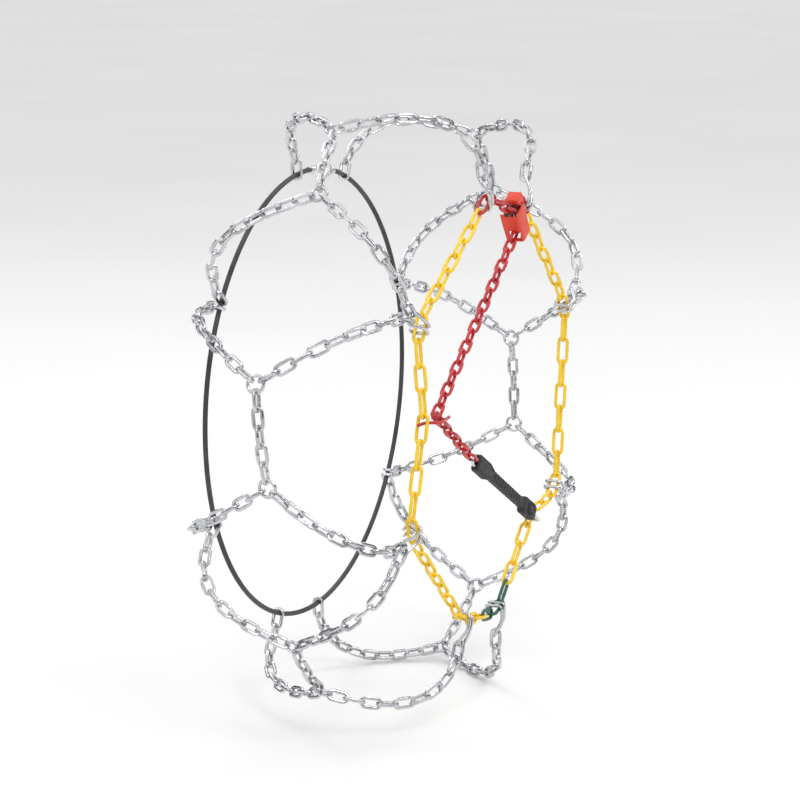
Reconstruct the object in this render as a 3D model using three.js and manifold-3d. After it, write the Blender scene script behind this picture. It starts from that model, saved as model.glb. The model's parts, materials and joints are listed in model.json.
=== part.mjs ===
// Tyre snow chain for one wheel, in its fitted, tensioned shape. Millimetres, +Z up.
// The origin is the wheel's centre and Y is the axle: the outer side of the wheel faces -Y.
import * as THREE from "three";
import { mergeVertices } from "three/addons/utils/BufferGeometryUtils.js";
import Module from "manifold-3d";

const wasm = await Module();
wasm.setup();

// ---- Driving dimensions -------------------------------------------------------------------
// The surface that the chain's centre line lies on: a rounded tyre section, swept round the axle.
const LAID = { halfWidth: 101, height: 79.5, coreRadius: 235, power: 3 };
const SIDE_Y = -101; // plane of the outer side chain
const SIDE_RADIUS = 211; // radius at which the eight side hooks hold the side chain
const HOOP = { y: 101, radius: 230, cable: 2.5, joint: 83, halfGap: 7 }; // rear cable hoop, degrees

// Angles of the eight places where the net meets the side chain, in degrees from +X towards +Z.
const ATTACH = [97, 148, 202.5, 250, 273.5, 326, 20, 69];
// Cells of the net, as pairs of attachments; no chain crosses the tread in the two gaps between halves.
const CELLS = [
  { name: "front_upper", from: 0, to: 1, drift: [11, -10] },
  { name: "front_middle", from: 1, to: 2, drift: [7, -8] },
  { name: "front_lower", from: 2, to: 3, drift: [-1, 1] },
  { name: "rear_lower", from: 4, to: 5, drift: [2, -3] },
  { name: "rear_middle", from: 5, to: 6, drift: [-4, 5] },
  { name: "rear_upper", from: 6, to: 7, drift: [3, -2] },
];
const RING_SPAN = 17.4; // degrees between the two rings of a cell

const SILVER = { wire: 3.2, width: 12.5 }; // D-section links of the net
const YELLOW = { wire: 2.9, width: 13, pitch: 24.4 }; // long links of the side chain
const RED = { wire: 3.2, width: 12 }; // short links of the tension chain
const RING = { radius: 8.15, wire: 3.2, sides: 10 };
const CROSS_LINKS = { outer: 10, inner: 11 };
const CENTRE_LINKS = 5;
const FUSED = -0.15; // links of one run touch under load, so their solids meet by this much each
const FREE = 0.4; // clearance of a link's bar from a piece of another node
const TURNING = 0.8; // clearance of a link's bar that turns on a neighbour
const MEETING = 0.5; // clearance of each of two side-chain links of different nodes

const SIDE_HOOK = { wire: 3.2, spread: 3.4, crossbar: 7.8, reach: 28, clearance: 0.6 };
const TENSION_Y = -108.5; // plane of the tension chain and the strap
const GUIDE_TURN = [-159.6, 24.9]; // x, z where the tension chain turns at the guide hook
const SIDE_BOW = [-170.7, 26.4]; // x, z to which the guide hook draws the side chain
const STRAP_BOW = [107.9, -137.2]; // x, z to which the strap draws the side chain
const TAIL_PITCH = 14.2;
const TAIL_DIRECTION = [0.832, -0.554];

// ---- Small helpers ------------------------------------------------------------------------
const group = new THREE.Group();
const AXLE = new THREE.Vector3(0, 1, 0);
const vec = (x, y, z) => new THREE.Vector3(x, y, z);
const radians = THREE.MathUtils.degToRad;
const mix = (a, b, t) => a.clone().lerp(b, t);
const along = (point, direction, distance) => point.clone().addScaledVector(direction, distance);
const steps = (count) => Array.from({ length: count }, (_, i) => i);
const directionFrom = (a, b) => b.clone().sub(a).normalize();
const polar = (degrees, radius, y) =>
  vec(radius * Math.cos(radians(degrees)), y, radius * Math.sin(radians(degrees)));
const radialAt = (degrees) => polar(degrees, 1, 0);
const tangentAt = (degrees) => polar(degrees + 90, 1, 0);

const PAINT = {
  zinc: { color: 0xc4c7cb, roughness: 0.35, metalness: 0.9 },
  yellow: { color: 0xf2c21a, roughness: 0.45, metalness: 0.1 },
  red: { color: 0xc8242b, roughness: 0.45, metalness: 0.1 },
  green: { color: 0x1d5a41, roughness: 0.5, metalness: 0.1 },
  redPlastic: { color: 0xd2371f, roughness: 0.4, metalness: 0 },
  rubber: { color: 0x26272b, roughness: 0.85, metalness: 0 },
  sleeve: { color: 0x35373b, roughness: 0.6, metalness: 0 },
  steel: { color: 0x9fa3a8, roughness: 0.4, metalness: 0.9 },
};

// A geometry as a manifold solid, with its shared corners merged.
function solid(geometry) {
  const bare = geometry.index ? geometry.toNonIndexed() : geometry.clone();
  bare.deleteAttribute("normal");
  bare.deleteAttribute("uv");
  const merged = mergeVertices(bare, 1e-3);
  return new wasm.Manifold(
    new wasm.Mesh({
      numProp: 3,
      vertProperties: new Float32Array(merged.attributes.position.array),
      triVerts: new Uint32Array(merged.index.array),
    }),
  );
}

const join = (geometries) => geometries.map(solid).reduce((all, next) => all.add(next));
const cut = (body, geometries) => geometries.map(solid).reduce((left, tool) => left.subtract(tool), body);

function add(name, shape, paint) {
  const made = shape.isBufferGeometry ? solid(shape) : shape;
  const mesh = made.getMesh();
  const points = new Float32Array(mesh.numVert * 3);
  for (const i of steps(mesh.numVert)) {
    const start = i * mesh.numProp;
    points.set(mesh.vertProperties.subarray(start, start + 3), i * 3);
  }
  const geometry = new THREE.BufferGeometry();
  geometry.setAttribute("position", new THREE.BufferAttribute(points, 3));
  geometry.setIndex(new THREE.BufferAttribute(mesh.triVerts, 1));
  geometry.computeVertexNormals();
  const material = new THREE.MeshStandardMaterial({ flatShading: true, ...PAINT[paint] });
  const node = new THREE.Mesh(geometry, material);
  node.name = name;
  group.add(node);
}

// A skin over a row of equal outlines, each a list of points that turns the right-hand way.
function skin(outlines, closed) {
  const sides = outlines[0].length;
  const faces = [];
  for (const i of steps(closed ? outlines.length : outlines.length - 1)) {
    const here = i * sides;
    const next = ((i + 1) % outlines.length) * sides;
    for (const k of steps(sides)) {
      const m = (k + 1) % sides;
      faces.push(here + k, here + m, next + m, here + k, next + m, next + k);
    }
  }
  if (!closed) {
    const last = (outlines.length - 1) * sides;
    for (const k of steps(sides - 2)) {
      faces.push(0, k + 2, k + 1, last, last + k + 1, last + k + 2);
    }
  }
  const geometry = new THREE.BufferGeometry();
  geometry.setFromPoints(outlines.flat());
  geometry.setIndex(faces);
  return geometry;
}

const square = (half) => [[-half, -half], [half, -half], [half, half], [-half, half]];
const circle = (radius, sides) =>
  steps(sides).map((i) => {
    const turn = ((i + 0.5) / sides) * 2 * Math.PI;
    return [radius * Math.cos(turn), radius * Math.sin(turn)];
  });

// A bar of one section along a path of straight stretches, mitred at each corner.
function bar(points, section, up, closed = false) {
  const count = closed ? points.length : points.length - 1;
  const directions = steps(count).map((i) => directionFrom(points[i], points[(i + 1) % points.length]));
  const first = up.clone().addScaledVector(directions[0], -up.dot(directions[0])).normalize();
  const ups = [first];
  for (const i of steps(count).slice(1)) {
    const turn = new THREE.Quaternion().setFromUnitVectors(directions[i - 1], directions[i]);
    ups.push(ups[i - 1].clone().applyQuaternion(turn));
  }
  const outlines = points.map((point, i) => {
    const after = Math.min(i, count - 1);
    const before = closed ? (i + count - 1) % count : Math.max(i - 1, 0);
    const direction = directions[after];
    const mitre = directions[before].clone().add(direction).normalize();
    const across = direction.clone().cross(ups[after]);
    return section.map(([a, b]) => {
      const offset = ups[after].clone().multiplyScalar(a).addScaledVector(across, b);
      return point.clone().add(offset).addScaledVector(direction, -offset.dot(mitre) / direction.dot(mitre));
    });
  });
  return skin(outlines, closed);
}

// A box with its centre and its three axes given as [direction, half length].
function block(centre, [x, hx], [y, hy], [z, hz]) {
  const basis = new THREE.Matrix4().makeBasis(x, y, z).setPosition(centre);
  return new THREE.BoxGeometry(2 * hx, 2 * hy, 2 * hz).applyMatrix4(basis);
}

// A round bar between two points, as a prism.
function rod(from, to, radius, sides = 8) {
  const direction = directionFrom(from, to);
  const up = Math.abs(direction.y) > 0.9 ? vec(1, 0, 0) : AXLE;
  return bar([from, to], circle(radius, sides), up);
}

// ---- The surface under the net --------------------------------------------------------------
// phi runs over the section: 0 at the crown, negative towards the outer side.
function laid(degrees, phi) {
  const power = 2 / LAID.power;
  const side = LAID.halfWidth * Math.sign(phi) * Math.abs(Math.sin(phi)) ** power;
  const radius = LAID.coreRadius + LAID.height * Math.sign(Math.cos(phi)) * Math.abs(Math.cos(phi)) ** power;
  return polar(degrees, radius, side);
}

const phiAtSide = (y) => Math.sign(y) * Math.asin((Math.abs(y) / LAID.halfWidth) ** (LAID.power / 2));

// phi on the flank where the section has this radius, a little either side of the core radius.
function phiAtRadius(radius, sign) {
  const rise = (radius - LAID.coreRadius) / LAID.height;
  return sign * Math.acos(Math.sign(rise) * Math.abs(rise) ** (LAID.power / 2));
}

function outward(point) {
  const radial = vec(point.x, 0, point.z);
  const rise = (radial.length() - LAID.coreRadius) / LAID.height;
  const side = point.y / LAID.halfWidth;
  const slope = (value, size) => (Math.sign(value) * Math.abs(value) ** (LAID.power - 1)) / size;
  return radial.normalize().multiplyScalar(slope(rise, LAID.height))
    .addScaledVector(AXLE, slope(side, LAID.halfWidth)).normalize();
}

// A path over the surface whose angle grows evenly with the length of section it has covered.
function laidPath(fromDegrees, fromPhi, toDegrees, toPhi) {
  const samples = 160;
  const profile = steps(samples + 1).map((i) => laid(0, fromPhi + ((toPhi - fromPhi) * i) / samples));
  const covered = [0];
  for (const i of steps(samples)) covered.push(covered[i] + profile[i].distanceTo(profile[i + 1]));
  return profile.map((_, i) => {
    const phi = fromPhi + ((toPhi - fromPhi) * i) / samples;
    return laid(fromDegrees + ((toDegrees - fromDegrees) * covered[i]) / covered[samples], phi);
  });
}

// Points at equal distances along a path, from `trim` after its start to its end.
function spaced(path, count, trim = 0) {
  const covered = [0];
  for (const i of steps(path.length - 1)) covered.push(covered[i] + path[i].distanceTo(path[i + 1]));
  const total = covered[covered.length - 1];
  return steps(count + 1).map((i) => {
    const wanted = trim + ((total - trim) * i) / count;
    const at = Math.max(1, covered.findIndex((length) => length >= wanted - 1e-9));
    const share = (wanted - covered[at - 1]) / (covered[at] - covered[at - 1]);
    return mix(path[at - 1], path[at], Math.min(share, 1));
  });
}

// ---- Links ----------------------------------------------------------------------------------
// A link as a closed frame of square wire between its two contact points.
function frameLink(from, to, across, size, startGap, endGap) {
  const direction = directionFrom(from, to);
  const sideways = across.clone().addScaledVector(direction, -across.dot(direction)).normalize();
  const half = (size.width - size.wire) / 2;
  const start = along(from, direction, -size.wire / 2 - startGap);
  const end = along(to, direction, size.wire / 2 + endGap);
  const corners = [along(start, sideways, -half), along(end, sideways, -half), along(end, sideways, half),
    along(start, sideways, half)];
  return bar(corners, square(size.wire / 2), sideways.clone().cross(direction), true);
}

// The directions across each link of a run on the surface: flat and upright links take turns,
// and `twist` is the extra turn that the whole run makes.
function acrossDirections(points, twist) {
  const count = points.length - 1;
  return steps(count).map((i) => {
    const direction = directionFrom(points[i], points[i + 1]);
    const normal = outward(mix(points[i], points[i + 1], 0.5));
    normal.addScaledVector(direction, -normal.dot(direction)).normalize();
    const turn = (i * Math.PI) / 2 + (radians(twist) * i) / (count - 1);
    return normal.clone().multiplyScalar(Math.cos(turn))
      .addScaledVector(direction.clone().cross(normal), Math.sin(turn));
  });
}

// The links between the first and the last one of a run, as one row of plates set crosswise.
// Each outline starts at the corner nearest to the last one's first, so the skin between them doesn't twist.
function plateRow(points, across) {
  const outlines = [];
  let u = across[0];
  for (const i of steps(points.length - 1).slice(1, -1)) {
    const direction = directionFrom(points[i], points[i + 1]);
    const thin = direction.clone().cross(across[i]);
    const wideFirst = Math.abs(u.dot(across[i])) > Math.abs(u.dot(thin));
    const [nearest, hu, hv] = wideFirst
      ? [across[i], SILVER.width / 2, SILVER.wire / 2]
      : [thin, SILVER.wire / 2, SILVER.width / 2];
    u = nearest.clone().multiplyScalar(Math.sign(u.dot(nearest)));
    const v = direction.clone().cross(u);
    const length = points[i].distanceTo(points[i + 1]);
    for (const place of [1.5, length - 1.5]) {
      const centre = along(points[i], direction, place);
      outlines.push(square(1).map(([a, b]) => along(along(centre, u, a * hu), v, b * hv)));
    }
  }
  return outlines;
}

function silverRun(points, twist, startGap, endGap) {
  const across = acrossDirections(points, twist);
  const last = points.length - 2;
  return [
    frameLink(points[0], points[1], across[0], SILVER, startGap, FUSED),
    skin(plateRow(points, across), false),
    frameLink(points[last], points[last + 1], across[last], SILVER, FUSED, endGap),
  ];
}

// ---- The net --------------------------------------------------------------------------------
function ring(centre) {
  const normal = outward(centre);
  const side = normal.clone().cross(AXLE).normalize();
  const other = normal.clone().cross(side);
  const points = circle(RING.radius, RING.sides).map(([a, b]) => along(along(centre, side, a), other, b));
  return bar(points, square(RING.wire / 2), normal, true);
}

const ringInside = RING.radius * Math.cos(Math.PI / RING.sides) - RING.wire / 2;
const crossbarRadius = SIDE_RADIUS + SIDE_HOOK.reach;

const degreesOf = (arc, radius) => THREE.MathUtils.radToDeg(arc / radius);

// One diagonal from a ring to its side hook or to the rear hoop; the last link nearly points to the axle.
// Two diagonals that share an end lie side by side, one on each `side` of it.
function diagonal(ringDegrees, ringPhi, endDegrees, side, outer) {
  const sign = outer ? -1 : 1;
  const endRadius = outer ? crossbarRadius - 0.82 * SIDE_HOOK.wire : HOOP.radius - HOOP.cable - 0.6;
  const links = outer ? CROSS_LINKS.outer : CROSS_LINKS.inner;
  const pitch = 17;
  const spreadDegrees = endDegrees + degreesOf(side * 7.2, endRadius + pitch);
  const path = laidPath(ringDegrees, ringPhi, spreadDegrees, phiAtRadius(endRadius + pitch, sign));
  const end = laid(endDegrees + degreesOf(side * 3, endRadius), phiAtRadius(endRadius, sign));
  const points = [...spaced(path, links - 1, ringInside - 0.2), end];
  return join(silverRun(points, outer ? 90 : 0, FREE, FREE));
}

const cellsAt = (index) => CELLS.filter((cell) => cell.from === index || cell.to === index).length;

for (const cell of CELLS) {
  const middle = (ATTACH[cell.from] + ATTACH[cell.to] + (ATTACH[cell.to] < ATTACH[cell.from] ? 360 : 0)) / 2;
  const rings = [-1, 1].map((side, i) => {
    const degrees = middle + (side * RING_SPAN) / 2;
    const phi = phiAtSide(cell.drift[i]);
    return { degrees, phi, centre: laid(degrees, phi) };
  });
  const between = directionFrom(rings[0].centre, rings[1].centre);
  const start = along(rings[0].centre, between, ringInside);
  const end = along(rings[1].centre, between, -ringInside);
  const crown = steps(CENTRE_LINKS + 1).map((i) => {
    const flat = mix(start, end, i / CENTRE_LINKS);
    return vec(flat.x, 0, flat.z).setLength(rings[0].centre.clone().setY(0).length()).setY(flat.y);
  });
  const run = silverRun(crown, 0, FUSED, FUSED);
  add(`centre_run_${cell.name}`, join([...run, ring(rings[0].centre), ring(rings[1].centre)]), "zinc");

  for (const [i, end] of [cell.from, cell.to].entries()) {
    const place = i ? "after" : "before";
    const side = cellsAt(end) > 1 ? (i ? -1 : 1) : 0;
    const target = ATTACH[end] + (i && ATTACH[end] < ATTACH[cell.from] ? 360 : 0);
    const { degrees, phi } = rings[i];
    add(`outer_cross_${cell.name}_${place}`, diagonal(degrees, phi, target, side, true), "zinc");
    add(`inner_cross_${cell.name}_${place}`, diagonal(degrees, phi, target, side, false), "zinc");
  }
}

// ---- The outer side chain -------------------------------------------------------------------
const sidePoint = ([x, z]) => vec(x, SIDE_Y, z);
const attachPoint = ATTACH.map((degrees) => polar(degrees, SIDE_RADIUS, SIDE_Y));
const strapBow = sidePoint(STRAP_BOW);
const sideBow = sidePoint(SIDE_BOW);
const [at1, at2, at3, at4, at5, at6, at7, at8] = attachPoint;
const corners = [at1, at2, sideBow, at3, at4, at5, strapBow, at6, at7, at8];
const degreesAt = (point) => THREE.MathUtils.radToDeg(Math.atan2(point.z, point.x));

// The direction of the link that is held at a corner of the side chain.
function heldDirection(point) {
  if (point === at1 || point === at8) return tangentAt(degreesAt(point));
  const at = corners.indexOf(point);
  return directionFrom(corners[at - 1], point).add(directionFrom(point, corners[at + 1])).normalize();
}

const halfLink = YELLOW.pitch / 2;
const heldEnd = (point) => along(point, heldDirection(point), halfLink);
const heldStart = (point) => along(point, heldDirection(point), -halfLink);
const straight = (from, to, count) => steps(count).map((i) => mix(from, to, (i + 1) / count));

// A run of side-chain links; `upright` says how its first link stands.
function sideRun(name, points, upright, paint) {
  const links = steps(points.length - 1).map((i) => {
    const direction = directionFrom(points[i], points[i + 1]);
    const standing = (i % 2 === 0) === upright;
    const across = standing ? AXLE : direction.clone().cross(AXLE);
    const gaps = [i ? FUSED : MEETING, i < points.length - 2 ? FUSED : MEETING];
    return frameLink(points[i], points[i + 1], across, YELLOW, ...gaps);
  });
  add(name, join(links), paint);
}

const greenStart = mix(heldEnd(at4), heldStart(at5), 2 / 3);
const rearStart = mix(heldEnd(at5), heldStart(strapBow), 1 / 4);
sideRun("side_chain_front_upper", [heldEnd(at1), ...straight(heldEnd(at1), heldStart(at2), 7), heldEnd(at2)],
  false, "yellow");
sideRun("side_chain_front_middle", [heldEnd(at2), ...straight(heldEnd(at2), sideBow, 3),
  ...straight(sideBow, heldStart(at3), 4), heldEnd(at3)], false, "yellow");
sideRun("side_chain_front_lower", [heldEnd(at3), ...straight(heldEnd(at3), heldStart(at4), 7), heldEnd(at4),
  ...straight(heldEnd(at4), greenStart, 2)], false, "yellow");
sideRun("closing_link", [greenStart, heldStart(at5), heldEnd(at5), rearStart], false, "green");
sideRun("side_chain_rear_lower", [rearStart, ...straight(rearStart, heldStart(strapBow), 3),
  heldEnd(strapBow), ...straight(heldEnd(strapBow), heldStart(at6), 2), heldEnd(at6)], true, "yellow");
sideRun("side_chain_rear_middle", [heldEnd(at6), ...straight(heldEnd(at6), heldStart(at7), 7), heldEnd(at7)],
  false, "yellow");
sideRun("side_chain_rear_upper", [heldEnd(at7), ...straight(heldEnd(at7), heldStart(at8), 7)],
  false, "yellow");
sideRun("side_chain_end", [heldStart(at8), heldEnd(at8)], true, "red");

// ---- Side hooks -----------------------------------------------------------------------------
// One bent wire: each of its two prongs wraps a standing link, and the crossbar holds the diagonals.
function sideHook(point) {
  const chain = heldDirection(point);
  const radial = radialAt(degreesAt(point));
  const out = SIDE_HOOK.clearance + SIDE_HOOK.wire / 2;
  const beside = YELLOW.width / 2 + out;
  const below = -(YELLOW.wire / 2 + out);
  const place = (a, rise, y) => along(along(along(point, chain, a), radial, rise), AXLE, y);
  const prong = [[3, beside], [below, beside], [below, -beside], [12, -beside], [SIDE_HOOK.reach, 0]];
  const spreadAt = (rise) => (rise < SIDE_HOOK.reach ? SIDE_HOOK.spread : SIDE_HOOK.crossbar);
  const near = prong.map(([rise, y]) => place(spreadAt(rise), rise, y));
  const far = prong.map(([rise, y]) => place(-spreadAt(rise), rise, y)).reverse();
  return bar([...near, ...far], square(SIDE_HOOK.wire / 2), chain);
}

for (const [i, point] of attachPoint.entries()) add(`side_hook_${i + 1}`, sideHook(point), "zinc");

// ---- Rear hoop ------------------------------------------------------------------------------
const hoopStart = HOOP.joint + HOOP.halfGap;
const hoopSweep = 360 - 2 * HOOP.halfGap;
const hoopPoints = steps(49).map((i) => polar(hoopStart + (hoopSweep * i) / 48, HOOP.radius, HOOP.y));
add("rear_hoop_cable", bar(hoopPoints, circle(HOOP.cable, 6), AXLE), "sleeve");

// The closure lies straight between the cable's ends: a = along the hoop, b = away from the axle,
// c = along Y.
const closureA = tangentAt(HOOP.joint);
const closureB = radialAt(HOOP.joint);
const closureCentre = polar(HOOP.joint, HOOP.radius * Math.cos(radians(HOOP.halfGap)), HOOP.y);
const closure = (a, b, c) => along(along(along(closureCentre, closureA, a), closureB, b), AXLE, c);
const closureBlock = (a, b, c, ha, hb, hc) =>
  block(closure(a, b, c), [closureA, ha], [AXLE, hc], [closureA.clone().cross(AXLE), hb]);
const cableEnd = HOOP.radius * Math.sin(radians(HOOP.halfGap));
const PIVOT = { a: 10, c: 3.5, half: 4.9, pin: 1.5, hole: 1.9 };
const EYE = { near: -8, far: -21, half: 5.5 };
const HOOK_TIP = { a: -11.5, c: -4.5 };

add("rear_hoop_fork", cut(join([
  rod(closure(cableEnd - 0.9, 0, 0), closure(17, 0, 0), 4.6),
  closureBlock(16, 0, 1.2, 1.5, 4.4, 4.6),
  closureBlock(11, 3.3, 2.2, 5.5, 1.1, 3.6),
  closureBlock(11, -3.3, 2.2, 5.5, 1.1, 3.6),
]), [rod(closure(PIVOT.a, -6, PIVOT.c), closure(PIVOT.a, 6, PIVOT.c), PIVOT.hole)]), "steel");

const hookBend = [[PIVOT.a + 1.5, PIVOT.c], [HOOK_TIP.a, PIVOT.c], [HOOK_TIP.a, HOOK_TIP.c]];
add("rear_hoop_hook", join([
  bar(hookBend.map(([a, c]) => closure(a, 0, c)), square(1.5), closureB),
  rod(closure(PIVOT.a, -PIVOT.half, PIVOT.c), closure(PIVOT.a, PIVOT.half, PIVOT.c), PIVOT.pin),
]), "steel");

const eyeLoop = [[EYE.near, -EYE.half], [EYE.far, -EYE.half], [EYE.far, EYE.half], [EYE.near, EYE.half]];
add("rear_hoop_eye", join([
  bar(eyeLoop.map(([a, b]) => closure(a, b, 0)), square(1.5), AXLE, true),
  rod(closure(EYE.far, 0, 0), closure(-(cableEnd - 0.9), 0, 0), 4.2),
]), "steel");

// ---- Lock -----------------------------------------------------------------------------------
// u is to the lock's right, w is to its top, both in the wheel's plane; y is measured from TENSION_Y.
const LOCK = { centre: [45, 184], tilt: 32, y: -107, wall: 1.4, halfDepth: 9.25, bottom: -17.5, top: 17 };
const lockU = radialAt(LOCK.tilt);
const lockW = tangentAt(LOCK.tilt);
const lockCentre = vec(LOCK.centre[0], LOCK.y, LOCK.centre[1]);
const lockPoint = (u, w, y) => along(along(along(lockCentre, lockU, u), lockW, w), AXLE, y);
const lockBlock = (u, w, y, hu, hw, hy) => block(lockPoint(u, w, y), [lockU, hu], [lockW, hw],
  [lockU.clone().cross(lockW), hy]);

// The cover's section is a U that opens to the wheel, with a rounded front.
function coverOutline(inset) {
  const left = -12.5 + inset;
  const right = 13.5 - inset;
  const front = -LOCK.halfDepth + inset;
  const back = LOCK.halfDepth + (inset ? 1 : 0);
  const round = 3.6 - inset / 2;
  const corner = (centreU, from) => steps(4).map((i) => {
    const turn = radians(from + 30 * i);
    return [centreU + round * Math.cos(turn), front + round + round * Math.sin(turn)];
  });
  return [[right, back], [left, back], ...corner(left + round, 180), ...corner(right - round, 270)];
}

const lockPrism = (outline, from, to) =>
  skin([from, to].map((w) => outline.map(([u, y]) => lockPoint(u, w, y))), false);

// The tail's eye goes round the near end of the link at the last side hook.
const eyeBar = along(heldEnd(at8), heldDirection(at8), YELLOW.wire / 2 + MEETING).sub(lockCentre);
const tailEye = { u: eyeBar.dot(lockU), w: eyeBar.dot(lockW), y: SIDE_Y - LOCK.y, hole: 2.3, half: 4.4 };
add("lock_cover", cut(solid(lockPrism(coverOutline(0), LOCK.bottom, LOCK.top)), [
  lockPrism(coverOutline(LOCK.wall), LOCK.bottom - 1, LOCK.top + 1),
  lockBlock(-12.5, -8.5, 0, 3, 9.5, 7.6),
  lockBlock(-12.5, 14, 0, 3, 5, 7.6),
  lockBlock(13, tailEye.w, tailEye.y, 3, tailEye.half + 0.5, 1.9),
]), "redPlastic");

const cheek = LOCK.halfDepth - LOCK.wall - 0.3 - 0.6;
const pawlPin = [9, 14.5];
add("lock_frame", cut(join([
  lockBlock(0.4, 0, cheek, 9.4, 16, 0.6),
  lockBlock(0.4, 0, -cheek, 9.4, 16, 0.6),
  lockBlock(10, -3, 0, 0.6, 13, cheek),
  rod(lockPoint(-8.2, 1.5, -cheek), lockPoint(-8.2, 1.5, cheek), 1.7),
  rod(lockPoint(...pawlPin, -cheek), lockPoint(...pawlPin, cheek), 1.5),
  lockBlock((10 + tailEye.u + tailEye.half) / 2, tailEye.w, tailEye.y, (tailEye.u + tailEye.half - 10) / 2,
    tailEye.half, 1.5),
]), [lockBlock(tailEye.u, tailEye.w, tailEye.y, tailEye.hole, tailEye.hole, 3)]), "steel");

const thumb = [[12.6, 18.4], [12.6, 29], [-4, 29], [-4, 28], [7, 18.4]];
const pawlSolid = skin([5.9, -5.9].map((y) => thumb.map(([u, w]) => lockPoint(u, w, y))), false);
add("lock_pawl", cut(join([
  pawlSolid,
  lockBlock(9.6, 17, 0, 2, 2.4, 3),
  rod(lockPoint(...pawlPin, -3), lockPoint(...pawlPin, 3), 2.7),
]), [rod(lockPoint(...pawlPin, -4), lockPoint(...pawlPin, 4), 1.85)]), "redPlastic");

const springCoil = circle(2.5, 8).map(([u, w]) => lockPoint(pawlPin[0] + u, pawlPin[1] + w, 4.6));
add("lock_spring", bar(springCoil, square(0.55), AXLE, true), "steel");

// ---- Tension chain --------------------------------------------------------------------------
const tensionPoint = ([x, z], y = TENSION_Y) => vec(x, y, z);
const guideTurn = tensionPoint(GUIDE_TURN);
const tailDirection = vec(TAIL_DIRECTION[0], 0, TAIL_DIRECTION[1]).normalize();
const tailHinge = along(guideTurn, tailDirection, TAIL_PITCH);
const strapEyeContact = along(guideTurn, tailDirection, 8 * TAIL_PITCH);
const lockMouth = lockPoint(-9.5, 23, 0);
const lockEntry = lockPoint(0, 12, 0);
const lockTurn = lockPoint(0, -9, 0);

function chainLink(from, to, standing, size, startGap, endGap) {
  const direction = directionFrom(from, to);
  const across = standing ? AXLE : direction.clone().cross(AXLE);
  return frameLink(from, to, across, size, startGap, endGap);
}

const firstEnd = heldStart(at1);
const pulled = spaced([firstEnd, lockMouth, lockEntry, lockTurn, guideTurn], 24);
const tensionPoints = [heldEnd(at1), ...pulled, tailHinge];
add("tension_chain", join(steps(tensionPoints.length - 1).map((i) => {
  const lastLink = i === tensionPoints.length - 2;
  const size = i === 0 ? YELLOW : RED;
  return chainLink(tensionPoints[i], tensionPoints[i + 1], i % 2 === 0, size, i ? FUSED : MEETING,
    lastLink ? 0 : FUSED);
})), "red");

const tailPoints = steps(8).map((i) => mix(tailHinge, strapEyeContact, i / 7));
add("tension_chain_tail", join(steps(7).map((i) => {
  const gaps = [i ? FUSED : TURNING, i < 6 ? FUSED : TURNING];
  return chainLink(tailPoints[i], tailPoints[i + 1], i % 2 === 0, RED, ...gaps);
})), "red");

// ---- Guide hook -----------------------------------------------------------------------------
// A rod through a standing link of the side chain, with a pin in the tension chain's link.
// e runs from the side-chain link towards the tension chain's.
const GUIDE = { wire: 3.2, below: 7.2, tip: -7.5, bend: 3.3, rise: 7.8, beyondPin: 9 };
const GUIDE_Y = { tip: -99.6, bend: -102.6, front: -116.4, pinEnd: -102 };
const threaded = along(sideBow, directionFrom(sideBow, heldStart(at3)), GUIDE.below);
const pinTarget = mix(guideTurn, tailHinge, 0.5).setY(SIDE_Y);
const guideAlong = directionFrom(threaded, pinTarget);
const guideUp = guideAlong.clone().cross(AXLE);
const guidePoint = (e, y) => along(threaded, guideAlong, e).setY(y);
const pinAt = threaded.distanceTo(pinTarget);
const guidePath = [[GUIDE.tip, GUIDE_Y.tip], [GUIDE.bend, GUIDE_Y.bend], [GUIDE.rise, GUIDE_Y.front],
  [pinAt + GUIDE.beyondPin, GUIDE_Y.front]];
add("guide_hook", join([
  bar(guidePath.map(([e, y]) => guidePoint(e, y)), square(GUIDE.wire / 2), guideUp),
  bar([guidePoint(pinAt, GUIDE_Y.front), guidePoint(pinAt, GUIDE_Y.pinEnd)], square(1.5), guideUp),
]), "red");

// ---- Tensioner strap ------------------------------------------------------------------------
// s runs from the strap's eye to its hook, b across the strap in the wheel's plane, y from TENSION_Y.
const STRAP = { halfThick: 4.5, mouth: 2, boss: 166, hookStart: 164.5, beyondChain: 11 };
const hookAim = vec(STRAP_BOW[0], TENSION_Y, STRAP_BOW[1]);
const strapS = directionFrom(strapEyeContact, hookAim);
const strapB = strapS.clone().cross(AXLE);
const strapPoint = (s, b, y) => along(along(along(strapEyeContact, strapS, s), strapB, b), AXLE, y);
const strapBlock = (s, b, y, hs, hb, hy) =>
  block(strapPoint(s, b, y), [strapS, hs], [strapB, hb], [strapS.clone().cross(strapB), hy]);
const hookReach = strapEyeContact.distanceTo(hookAim) + STRAP.beyondChain;

// A flat piece of the strap from one edge of its outline, which has to be convex.
function strapSlab(edge) {
  const outline = [...edge, ...edge.map(([s, b]) => [s, -b]).reverse()];
  const faces = [-STRAP.halfThick, STRAP.halfThick];
  return skin(faces.map((y) => outline.map(([s, b]) => strapPoint(s, b, y))), false);
}

add("tensioner_strap", cut(join([
  strapSlab([[7, 7.6], [9, 8.8], [38, 8.8], [46, 5.4]]),
  strapSlab([[42, 5.4], [152, 5.4]]),
  strapSlab([[147, 5.4], [150, 8.8], [180, 8.8], [184, 6.4]]),
  rod(strapPoint(STRAP.boss, 0, 0), strapPoint(STRAP.boss, 0, -6), 7.6, 12),
]), [
  strapBlock(15, 0, 0, 9.2, 6.5, STRAP.mouth),
  strapBlock(STRAP.hookStart + 9.5, 0, 0, 10.5, STRAP.mouth, STRAP.mouth),
]), "rubber");

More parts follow.
